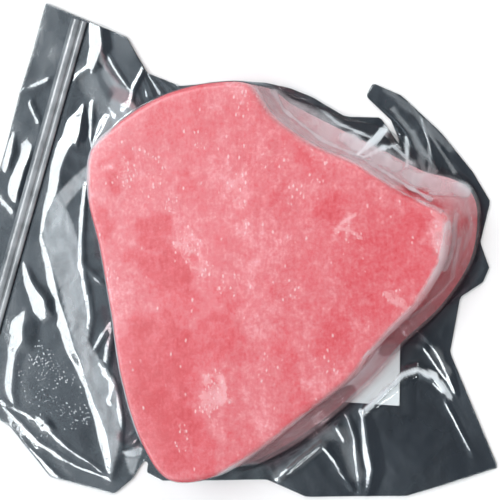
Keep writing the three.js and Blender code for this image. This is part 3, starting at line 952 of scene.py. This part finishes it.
# %% Set the haze
HAZE_AND_PAINTED_HIGHLIGHTS = [  # milky stretches and painted highlights drawn as milk: a line through each, its reach to either side, how milky it is, and where that counts
    ([(8, 52), (28, 41)], 8, 0.27, "wall"), ([(28, 41), (42, 34), (56, 28)], 6, 0.27, "wall"),
    ([(36, 40), (44, 35.5), (54, 30)], 3.2, 0.42, "below"),
    # painted highlights: white streaks on the tent, drawn as milky film
    ([(48, 43), (46, 40), (42, 34)], 1.6, 0.8, "below"),
    ([(42, 34), (44, 33), (49, 36)], 1.2, 0.7, "below"),
    ([(55, 40), (56, 36), (57, 30)], 0.6, 0.6, "below"),
    ([(48, 32), (49, 36), (52, 37), (55, 34), (58, 31)], 0.6, 0.4, "below"),
    ([(58, 27), (66, 24), (76, 22)], 3.5, 0.42, "wall"), ([(72, 22), (80, 16)], 6, 0.16, "wall"),
    ([(80, 8), (76, -6), (66, -20)], 6, 0.12, "wall"), ([(66, -20), (52, -34)], 6, 0.17, "wall"),
    ([(52, -34), (36, -50), (22, -64), (4, -76)], 6, 0.27, "wall"),
    # painted highlight: the bright arch on the lower right, drawn as a milky fold
    ([(42, -56), (46, -52), (51, -47), (55, -43), (60, -41), (66, -43), (69, -48)], 1.1, 0.7, "below"),
    ([(41, -58), (44, -55)], 1.0, 0.5, "below"), ([(68, -45), (71, -50)], 1.0, 0.4, "below"),
    # painted highlights: light lines beside the dark folds of the wall and along the upper rim
    ([(76, 6), (75, 0), (73, -8), (70, -12), (65, -17), (60, -21)], 0.8, 0.26, "wall"),
    ([(75, 14), (75, 7), (74, 1), (72, -4)], 0.7, 0.28, "wall"),
    ([(77, 19), (79, 10), (77, 2)], 0.8, 0.22, "wall"),
    ([(9, 57), (14.6, 49.4), (29, 39), (44.8, 32.2), (60, 22.6), (67, 19)], 0.7, 0.42, "below"),
    ([(20, 54), (32, 45), (44, 40)], 0.7, 0.4, "wall"), ([(66, 21), (74, 20), (79, 23)], 0.5, 0.4, "wall"),
    ([(-54, 57), (-57, 50), (-62, 44)], 4.5, 0.2, "below"), ([(-61, 66), (-56, 58)], 2.5, 0.1, "below"),
    ([(-70, 66), (-66, 58), (-60, 50)], 5, 0.07, "below"),
    ([(22, -66), (34, -66), (38, -80)], 4, 0.07, "below"), ([(66, -34), (70, -41)], 2.5, 0.07, "below"),
    # painted highlights: the light that the rounded rim catches
    ([(74, 11), (72, -2), (64, -16), (51, -30), (41, -43), (27, -55), (9, -70),
      (-9, -82)], 2.2, 0.34, "rim"),
    ([(57, -24), (47, -33), (42, -43), (37, -47), (27, -54), (15, -65), (5, -73)], 0.8, 0.5, "rim"),
    ([(-58, 19), (-57, 36), (-46, 46)], 2.2, 0.3, "rim"),
    ([(14, 48), (28, 38), (44, 31), (59, 22), (71, 16)], 1.5, 0.3, "rim"),
    ([(-39, 53), (-47, 47), (-52, 43)], 0.7, 0.4, "rim"),
    ([(-57, 12), (-53, 0), (-49, -22), (-44.5, -48), (-37, -70)], 0.9, 0.3, "rim"),
    ([(50, 50), (58, 40), (66, 28)], 0.9, 0.12, "below"),
    ([(56, 52), (64, 40), (72, 28)], 0.9, 0.1, "below"),
    ([(60, 47), (63, 38), (64, 28)], 0.6, 0.16, "below"),
    ([(48, 57), (58, 48), (70, 36)], 1.6, 0.07, "below"),
    ([(57, 42), (60, 35), (62, 29)], 1.4, 0.1, "below"),
    ([(25, -70), (17, -77), (9, -84)], 3, 0.08, "below"),
]
DOUBLED = [  # outlines of areas where the film lies doubled, with how milky they are
    ([(-86, 14), (-89, 3), (-86, -6), (-81, -18), (-78, -30), (-74, -41), (-71, -52), (-67, -62),
      (-60, -91), (-56, -78), (-55, -62), (-58, -52), (-63, -46), (-69, -38), (-68, -29), (-69, -21),
      (-71, -10), (-72, -2), (-75, 8), (-79, 16)], 0.24),
    ([(-89, 5), (-85, 16), (-75, 26), (-67, 32), (-66, 27), (-76, 17), (-87, 3)], 0.22),
    ([(-62, 76), (-60, 68), (-55, 62), (-50, 56), (-57, 59), (-63, 70)], 0.16),
    ([(-50, 56), (-61, 45), (-58, 40), (-46, 50)], 0.2),
    ([(-55, -80), (-51, -79), (-48, -77), (-46, -78), (-47, -81), (-50, -82), (-53, -82)], 0.42),
    ([(-54, -82), (-50, -82), (-47, -81), (-48, -83), (-50, -89), (-52, -88)], 0.2),
]
FLESH_TINT_AND_PAINTED_REFLECTION = [  # where the film shows the red of the flesh, seen through it on the walls and as a painted reflection of the flesh beside the steak: a line, its reach and how red it is
    # painted reflection: the flesh mirrored in the film beside the steak's left side
    ([(-62, 76), (-60, 68), (-55, 62)], 1.3, 0.35), ([(-57, 58), (-50, 55), (-46, 52)], 3.5, 0.35),
    ([(-55, -74), (-49, -76)], 3, 0.35), ([(-64, 6), (-64, -4)], 2.5, 0.35),
    ([(-62, -25), (-59, -38), (-55, -59), (-52, -71)], 2.5, 0.35),
    # the red of the flesh seen through milky film on the walls
    ([(10, 54), (28, 40), (48, 30), (66, 24)], 7, 0.2), ([(66, 24), (80, 12), (74, -8)], 7, 0.35),
    ([(74, -8), (52, -34), (30, -56), (6, -76)], 7, 0.48),
]


def set_haze_and_painted_light(piece):
    """Give every point of a film its haze with the painted highlights, its red tint with the painted
    reflection of the flesh, and how closely the film clings to the flesh.
    """
    x, y, z = points_of(piece)
    below = 1 - ramp(z, STEAK_TOP - 3.0, STEAK_TOP - 0.6)
    rim = ramp(z, STEAK_TOP - 4.5, STEAK_TOP - 2.5)
    zones = {"below": below, "wall": below * ramp(z, 2.5, 6), "rim": rim}
    haze_and_painted_highlight = 0.005 + 0.005 * below
    for line, reach, strength, zone in HAZE_AND_PAINTED_HIGHLIGHTS:
        waver = 0.3 if zone == "rim" or reach < 1 else 0.8
        distance = np.abs(crest_distance(x, y, line)[0]) + waver * unevenness(x, y, 5, 41)
        milk_and_highlight = strength * ramp(reach - distance, 0, 0.6 * reach) * zones[zone]
        # the painted highlight along the rim is broken up along its length
        if zone == "rim":
            milk_and_highlight = milk_and_highlight * ramp(unevenness(x, y, 7, 42), -1.7, -0.1)
        haze_and_painted_highlight = np.maximum(haze_and_painted_highlight, milk_and_highlight)
    swirl_x, swirl_y = x + 4 * unevenness(x, y, 9, 43), y + 4 * unevenness(x, y, 9, 44)
    swirl = 1 + 0.45 * unevenness(swirl_x * 1.6, swirl_y * 0.7, 4.5, 45)
    for corners, strength in DOUBLED:
        haze_and_painted_highlight = np.maximum(haze_and_painted_highlight, strength * swirl * ramp(inside(x, y, corners), -0.3, 0.7) * below)
    flesh_tint_and_reflection = np.zeros(x.shape)
    for line, reach, strength in FLESH_TINT_AND_PAINTED_REFLECTION:
        distance = np.abs(crest_distance(x, y, line)[0])
        flesh_tint_and_reflection = np.maximum(flesh_tint_and_reflection, strength * ramp(reach - distance, 0, 0.6 * reach))
    carry(piece, "haze_and_painted_highlight", haze_and_painted_highlight)
    carry(piece, "flesh_tint_and_reflection", flesh_tint_and_reflection)
    carry(piece, "cling", ramp(z, STEAK_TOP - 8.0, STEAK_TOP - 1.0))


for skin in front_skins:
    set_haze_and_painted_light(skin)
    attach(skin, "root")
    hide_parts("front_film")
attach(back_sheet, "root")
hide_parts("back_film")

# %% [markdown]
# ## The zip track
#
# The track is a strip of the film with two ribs, a wide one and a narrow one. Geometry Nodes make both
# from one rib: a line along the track becomes a rib with a low round section, and it is placed on a row
# of points, each one narrower than the one before. A flat strip lies under the ribs. The plastic lets
# some of the black film show through.

# %% Zip track tree
def new_tree(name, sizes, takes_mesh=False):
    """A Geometry Nodes tree with its inputs, and each size's socket by name."""
    tree = bpy.data.node_groups.new(name, "GeometryNodeTree")
    tree.interface.new_socket("Geometry", in_out="OUTPUT", socket_type="NodeSocketGeometry")
    if takes_mesh:
        tree.interface.new_socket("Geometry", in_out="INPUT", socket_type="NodeSocketGeometry")
    sockets = {}
    for size, value in sizes.items():
        sockets[size] = tree.interface.new_socket(size, in_out="INPUT", socket_type="NodeSocketFloat")
        sockets[size].default_value = value
    return tree, sockets


def vector(tree, **parts):
    """A vector from its X, Y and Z, each a number or another node's output."""
    return add(tree, "ShaderNodeCombineXYZ", None, parts).outputs[0]


def finish_tree(tree, geometry, material):
    """End a tree as every tree here ends: real copies, one material, the output."""
    real = add(tree, "GeometryNodeRealizeInstances", None, {0: geometry})
    clad = add(tree, "GeometryNodeSetMaterial", None, {"Geometry": real.outputs[0], "Material": material})
    add(tree, "NodeGroupOutput", None, {0: clad.outputs[0]})


def grown(name, tree, sizes, start_mesh=None):
    """Run a tree on a new object and return the result as a plain mesh object."""
    carrier = linked(name + "_carrier", start_mesh or bpy.data.meshes.new(name + "_empty"))
    modifier = carrier.modifiers.new("grow", "NODES")
    modifier.node_group = tree
    for socket, value in sizes.items():
        modifier[socket.identifier] = value
    evaluated = carrier.evaluated_get(bpy.context.evaluated_depsgraph_get())
    mesh = bpy.data.meshes.new_from_object(evaluated)
    mesh.name = name
    bpy.data.objects.remove(carrier)
    print(f"{name}: {sum(len(p.vertices) - 2 for p in mesh.polygons)} triangles")
    return linked(name, mesh)


def make_zip_plastic():
    """Grey plastic, more solid in some places than in others."""
    material, tree = new_material("zip_plastic")
    patches = noise(tree, object_places(tree), 0.02, 3, 0.5)
    grain = noise(tree, object_places(tree), 0.0009, 3, 0.6)
    colour = blend(tree, between(tree, patches, 0.35, 0.65), paint(98, 104, 109), paint(152, 157, 160))
    plastic = surface(tree, {
        "Base Color": colour, "Roughness": 0.22, "Normal": bumped(tree, grain, 0.12, 0.0003),
        "Specular IOR Level": 0.7,
    })
    see_through(tree, between(tree, patches, 0.36, 0.6, 0.75, 0.95), (0.9, 0.92, 0.94), plastic)
    return material


zip_plastic = make_zip_plastic()


def make_track_tree():
    """Two ribs on a thin strip, the second rib narrower than the first."""
    tree, sockets = new_tree("zip_track_ribs", {"Length": 0.15, "Width": 0.006, "Rib radius": 0.0005})
    given = add(tree, "NodeGroupInput").outputs
    length, width = given["Length"], given["Width"]
    line = add(tree, "GeometryNodeCurvePrimitiveLine", None, {"End": vector(tree, Y=length)})
    fine = add(tree, "GeometryNodeResampleCurve", None, {"Curve": line.outputs[0], "Count": 90})
    round_section = {"Resolution": 20, "Radius": given["Rib radius"]}
    section = add(tree, "GeometryNodeCurvePrimitiveCircle", None, round_section)
    one = add(tree, "GeometryNodeCurveToMesh", None, {
        "Curve": fine.outputs[0], "Profile Curve": section.outputs[0], "Fill Caps": True,
    })
    flat = add(tree, "GeometryNodeTransform", None, {"Geometry": one.outputs[0], "Scale": (1.0, 1.0, 0.4)})
    row = add(tree, "GeometryNodeMeshLine", {"mode": "OFFSET"}, {
        "Count": 2, "Start Location": vector(tree, X=times(tree, width, 0.13)),
        "Offset": vector(tree, X=times(tree, width, -0.48)),
    })
    narrower = scaled_plus(tree, add(tree, "GeometryNodeInputIndex").outputs[0], -0.33, 1.0)
    ribs = add(tree, "GeometryNodeInstanceOnPoints", None, {
        "Points": row.outputs[0], "Instance": flat.outputs[0],
        "Scale": vector(tree, X=narrower, Y=1.0, Z=narrower),
    })
    strip_size = vector(tree, X=width, Y=length, Z=0.00025)
    strip = add(tree, "GeometryNodeMeshCube", None, {"Size": strip_size, "Vertices Y": 60})
    placed = add(tree, "GeometryNodeSetPosition", None, {
        "Geometry": strip.outputs[0], "Offset": vector(tree, Y=times(tree, length, 0.5), Z=-0.0003),
    })
    both = add(tree, "GeometryNodeJoinGeometry", None, {0: ribs.outputs[0]})
    tree.links.new(placed.outputs[0], both.inputs[0])
    finish_tree(tree, both.outputs[0], zip_plastic)
    return tree, sockets


track_tree, track_sizes = make_track_tree()
track_run = np.array(TRACK_TO) - np.array(TRACK_FROM)
zip_strip = grown("zip_track_ribs", track_tree, {
    track_sizes["Length"]: float(np.linalg.norm(track_run)) * MM,
    track_sizes["Width"]: 2 * TRACK_HALF * MM,
    track_sizes["Rib radius"]: 1.53 * MM,
})
turn = math.atan2(track_run[1], track_run[0]) - math.pi / 2
TRACK_RISE = 0.8  # of the ribs' middle over the film
track_start = Vector((*(np.array(TRACK_FROM) + shift), FRONT_LEVEL + CALM_LEVEL + TRACK_RISE)) * MM
zip_strip.data.transform(Matrix.Translation(track_start) @ Matrix.Rotation(turn, 4, "Z"))
zip_strip.data.shade_smooth()
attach(zip_strip, "root")
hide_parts("zip_track")

# %% [markdown]
# ## Bubbles under the film
#
# The big left ear holds a few hundred tiny bubbles of air in clusters. They are scattered by Geometry
# Nodes: points are spread over a patch that lies on the film, denser where a noise is high, and each one
# gets a small flattened ball of a random size and direction. The seeds are fixed.

# %% Scatter the bubbles
BUBBLE_PATCH = [(-104, -42), (-78, -34), (-68, -72), (-92, -78)]
PATCH_STEPS = 24
CLEAR_OF_FOOT = 20.0  # further out than where the flange comes down to the steak's foot
JUST_ABOVE = 0.05


def film_patch(corners, steps):
    """A small grid mesh that lies on the front film between four corners."""
    s, t = (grid.ravel() for grid in np.meshgrid(np.linspace(0, 1, steps), np.linspace(0, 1, steps)))
    a, b, c, d = (np.array(corner, float) for corner in corners)
    s, t = s[:, None], t[:, None]
    xy = (1 - s) * (1 - t) * a + s * (1 - t) * b + s * t * c + (1 - s) * t * d
    height = lift(xy[:, 0], xy[:, 1], np.full(len(xy), CLEAR_OF_FOOT))
    points = points_at(xy + shift, FRONT_LEVEL + height + JUST_ABOVE)
    first = (np.arange(steps - 1)[:, None] * steps + np.arange(steps - 1)).ravel()
    faces = np.column_stack([first, first + 1, first + steps + 1, first + steps]).tolist()
    mesh = bpy.data.meshes.new("bubble_patch")
    mesh.from_pydata((points * MM).tolist(), [], faces)
    return mesh


def make_bubble_skin():
    """Pale and half clear, as a blister of film is; the paleness also stands in for the bubbles' glints, a
    painted highlight.
    """
    material, tree = new_material("bubble_skin")
    cloud = noise(tree, object_places(tree), 0.004, 2, 0.5)
    skin = surface(tree, {
        # painted highlight: the bubbles' pale colour stands in for their glints
        "Base Color": blend(tree, cloud, paint(150, 160, 168), paint(228, 235, 238)), "Roughness": 0.25,
    })
    see_through(tree, between(tree, cloud, 0.35, 0.65, 0.35, 0.9), (0.95, 0.96, 0.97), skin)
    return material


def random_between(tree, low, high, seed):
    """A random number for each point."""
    settings = {2: low, 3: high, "Seed": seed}
    return add(tree, "FunctionNodeRandomValue", {"data_type": "FLOAT"}, settings).outputs[1]


def make_bubble_tree():
    """Small flattened balls of many sizes, crowded in clusters."""
    sizes = {"Density": 1000.0, "Smallest": 0.0001, "Largest": 0.0003}
    tree, sockets = new_tree("bubble_scatter", sizes, takes_mesh=True)
    given = add(tree, "NodeGroupInput").outputs
    clusters = add(tree, "ShaderNodeTexNoise", None, {"Scale": 130.0, "Detail": 2.0}).outputs["Fac"]
    crowded = times(tree, between(tree, clusters, 0.36, 0.74), given["Density"])
    spread = add(tree, "GeometryNodeDistributePointsOnFaces", None, {
        "Mesh": given["Geometry"], "Density": crowded, "Seed": 7,
    })
    ball = add(tree, "GeometryNodeMeshIcoSphere", None, {"Radius": 1.0, "Subdivisions": 2})
    size = random_between(tree, given["Smallest"], given["Largest"], 3)
    long = times(tree, size, random_between(tree, 1.0, 2.2, 5))
    angle = random_between(tree, -0.7, 1.9, 9)
    turned = add(tree, "FunctionNodeEulerToRotation", None, {0: vector(tree, Z=angle)})
    placed = add(tree, "GeometryNodeInstanceOnPoints", None, {
        "Points": spread.outputs[0], "Instance": ball.outputs[0], "Rotation": turned.outputs[0],
        "Scale": vector(tree, X=size, Y=long, Z=times(tree, size, 0.6)),
    })
    finish_tree(tree, placed.outputs[0], make_bubble_skin())
    return tree, sockets


bubble_tree, bubble_sizes = make_bubble_tree()
bubbles = grown("trapped_bubbles", bubble_tree, {
    bubble_sizes["Density"]: 700000.0,
    bubble_sizes["Smallest"]: 0.09 * MM,
    bubble_sizes["Largest"]: 0.3 * MM,
}, film_patch(BUBBLE_PATCH, PATCH_STEPS))
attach(bubbles, "root")
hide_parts("front_film")

# %% [markdown]
# ## The absorbent pad
#
# The pad is a soft white sheet of paper fibre. Only one corner of it shows beside the steak. It keeps the
# CAD's box, with rounded edges and a faint pattern of dimples.

# %% Pad material and mesh
def make_pad_paper():
    """White paper with dimples and fibres."""
    material, tree = new_material("pad_paper")
    places = object_places(tree)
    fibre = noise(tree, places, 0.0007, 5, 0.7)
    dimples = add(tree, "ShaderNodeTexVoronoi", {"feature": "F1"}, {
        "Vector": places, "Scale": 320.0, "Randomness": 0.1,
    }).outputs["Distance"]
    height = plus(tree, times(tree, dimples, 0.6), times(tree, fibre, 0.4))
    show(tree, surface(tree, {
        "Base Color": blend(tree, fibre, paint(230, 236, 238), paint(244, 248, 249)), "Roughness": 0.9,
        "Normal": bumped(tree, height, 0.25, 0.0003),
    }))
    return material


PAD_EDGE = 0.00022  # rounding, in metres


def build_pad():
    """A thin block with rounded edges, as large as the CAD's."""
    mesh = bpy.data.meshes.new("absorbent_pad_sheet")
    made = bmesh.new()
    bmesh.ops.create_cube(made, size=1.0)
    size, middle = pad_high - pad_low, (pad_high + pad_low) / 2
    stretched = Matrix.Translation(middle) @ Matrix.Diagonal((*size, 1))
    bmesh.ops.transform(made, matrix=stretched, verts=made.verts)
    bmesh.ops.bevel(made, geom=made.edges[:], offset=PAD_EDGE, segments=3, profile=0.5, affect="EDGES")
    made.to_mesh(mesh)
    made.free()
    mesh.materials.append(make_pad_paper())
    return linked("absorbent_pad_sheet", mesh)


pad_sheet = build_pad()
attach(pad_sheet, "root")
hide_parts("pad")

# %% [markdown]
# ## Floor and sky
#
# The pack lies on a pale floor, as in a small product studio. The sky is brighter on the left, which the
# folds on that side pick up.

# %% Floor and surroundings
FLOOR_REACH = 10.0  # metres
JUST_BELOW = 0.0002


def build_floor():
    """One large pale square, which the film doesn't mirror."""
    mesh = bpy.data.meshes.new("floor")
    corners = [(x * FLOOR_REACH, y * FLOOR_REACH, 0) for x, y in ((-1, -1), (1, -1), (1, 1), (-1, 1))]
    mesh.from_pydata(corners, [], [(0, 1, 2, 3)])
    material, tree = new_material("pale_floor")
    matt = {"Base Color": (0.86, 0.86, 0.86, 1), "Roughness": 0.9}
    show(tree, surface(tree, matt))
    mesh.materials.append(material)
    floor = linked("floor", mesh)
    floor.location.z = -JUST_BELOW
    floor.visible_glossy = False


build_floor()
world = bpy.data.worlds.new("studio")
bpy.context.scene.world = world
world.use_nodes = True
sky = world.node_tree
looking = add(sky, "ShaderNodeTexCoord").outputs["Generated"]
sideways = add(sky, "ShaderNodeSeparateXYZ", None, {0: looking}).outputs["X"]
brightness = between(sky, sideways, -0.05, -0.6, 0.06, 0.95)
sky.nodes["Background"].inputs["Color"].default_value = (0.82, 0.92, 1.0, 1)
sky.links.new(brightness, sky.nodes["Background"].inputs["Strength"])

# %% [markdown]
# ## Lamps
#
# The glossy film shows what it mirrors, so the windows are placed where creases that lean by ten to
# twenty degrees pick them up, and away from where the flat top face would. They are only mirrored. The
# soft lamps light the flesh and the floor, and nothing mirrors them.

# %% Lamps
LAMPS = [  # name, azimuth, elevation, distance, size, strength and whether it is only mirrored
    ("window_left", 180, 38, 1.0, (0.9, 0.42), 9.6, True),
    ("window_front_left", 226, 36, 1.0, (0.4, 0.36), 4.2, True),
    ("window_back", 98, 46, 1.1, (0.5, 0.2), 2.8, True),
    ("strip_front", -70, 40, 1.1, (0.34, 0.12), 1.1, True),
    ("window_high", 140, 45, 1.1, (0.7, 0.3), 6.0, True),
    ("soft_above", 150, 80, 1.1, (1.2, 1.2), 11.0, False),
    ("soft_back", 65, 35, 1.1, (0.8, 0.8), 6.5, False),
    ("soft_front", -60, 38, 1.1, (0.7, 0.7), 2.9, False),
]


def direction_at(azimuth, elevation):
    """A direction by its azimuth, from +X towards +Y, and its elevation, in degrees."""
    a, e = math.radians(azimuth), math.radians(elevation)
    return Vector((math.cos(e) * math.cos(a), math.cos(e) * math.sin(a), math.sin(e)))


def add_lamp(name, azimuth, elevation, distance, size, strength, only_mirrored):
    """A rectangular lamp aimed at the pack, either only mirrored or never."""
    direction = direction_at(azimuth, elevation)
    light = bpy.data.lights.new(name, "AREA")
    light.shape = "RECTANGLE"
    light.size, light.size_y = size
    light.energy = strength
    lamp = linked(name, light)
    lamp.location = direction * distance
    lamp.rotation_euler = direction.to_track_quat("Z", "Y").to_euler()
    lamp.visible_diffuse = not only_mirrored
    lamp.visible_glossy = only_mirrored


for lamp_row in LAMPS:
    add_lamp(*lamp_row)

# %% [markdown]
# ## Camera
#
# The camera looks steeply down at the pack from its right, through a long lens, with +Y upwards in its
# view. Its axes are worked out from that direction, so nothing has to be turned by hand.

# %% Camera
CAMERA_AZIMUTH, CAMERA_ELEVATION = 12, 70
CAMERA_DISTANCE = 0.40
AIM_HEIGHT = 0.008
camera_data = bpy.data.cameras.new("camera")
camera_data.lens = 80
camera_data.clip_start = 0.01
camera = linked("camera", camera_data)
aim = Vector((shift[0] * MM, shift[1] * MM, AIM_HEIGHT))
back = direction_at(CAMERA_AZIMUTH, CAMERA_ELEVATION)
right = (-back).cross(Vector((0, 1, 0))).normalized()
up = back.cross(right)
turned = Matrix((right, up, back)).transposed().to_4x4()
camera.matrix_world = Matrix.Translation(aim + back * CAMERA_DISTANCE) @ turned
bpy.context.scene.camera = camera
bpy.context.scene.view_settings.view_transform = "Standard"
print("camera at", [round(value, 3) for value in camera.matrix_world.translation])
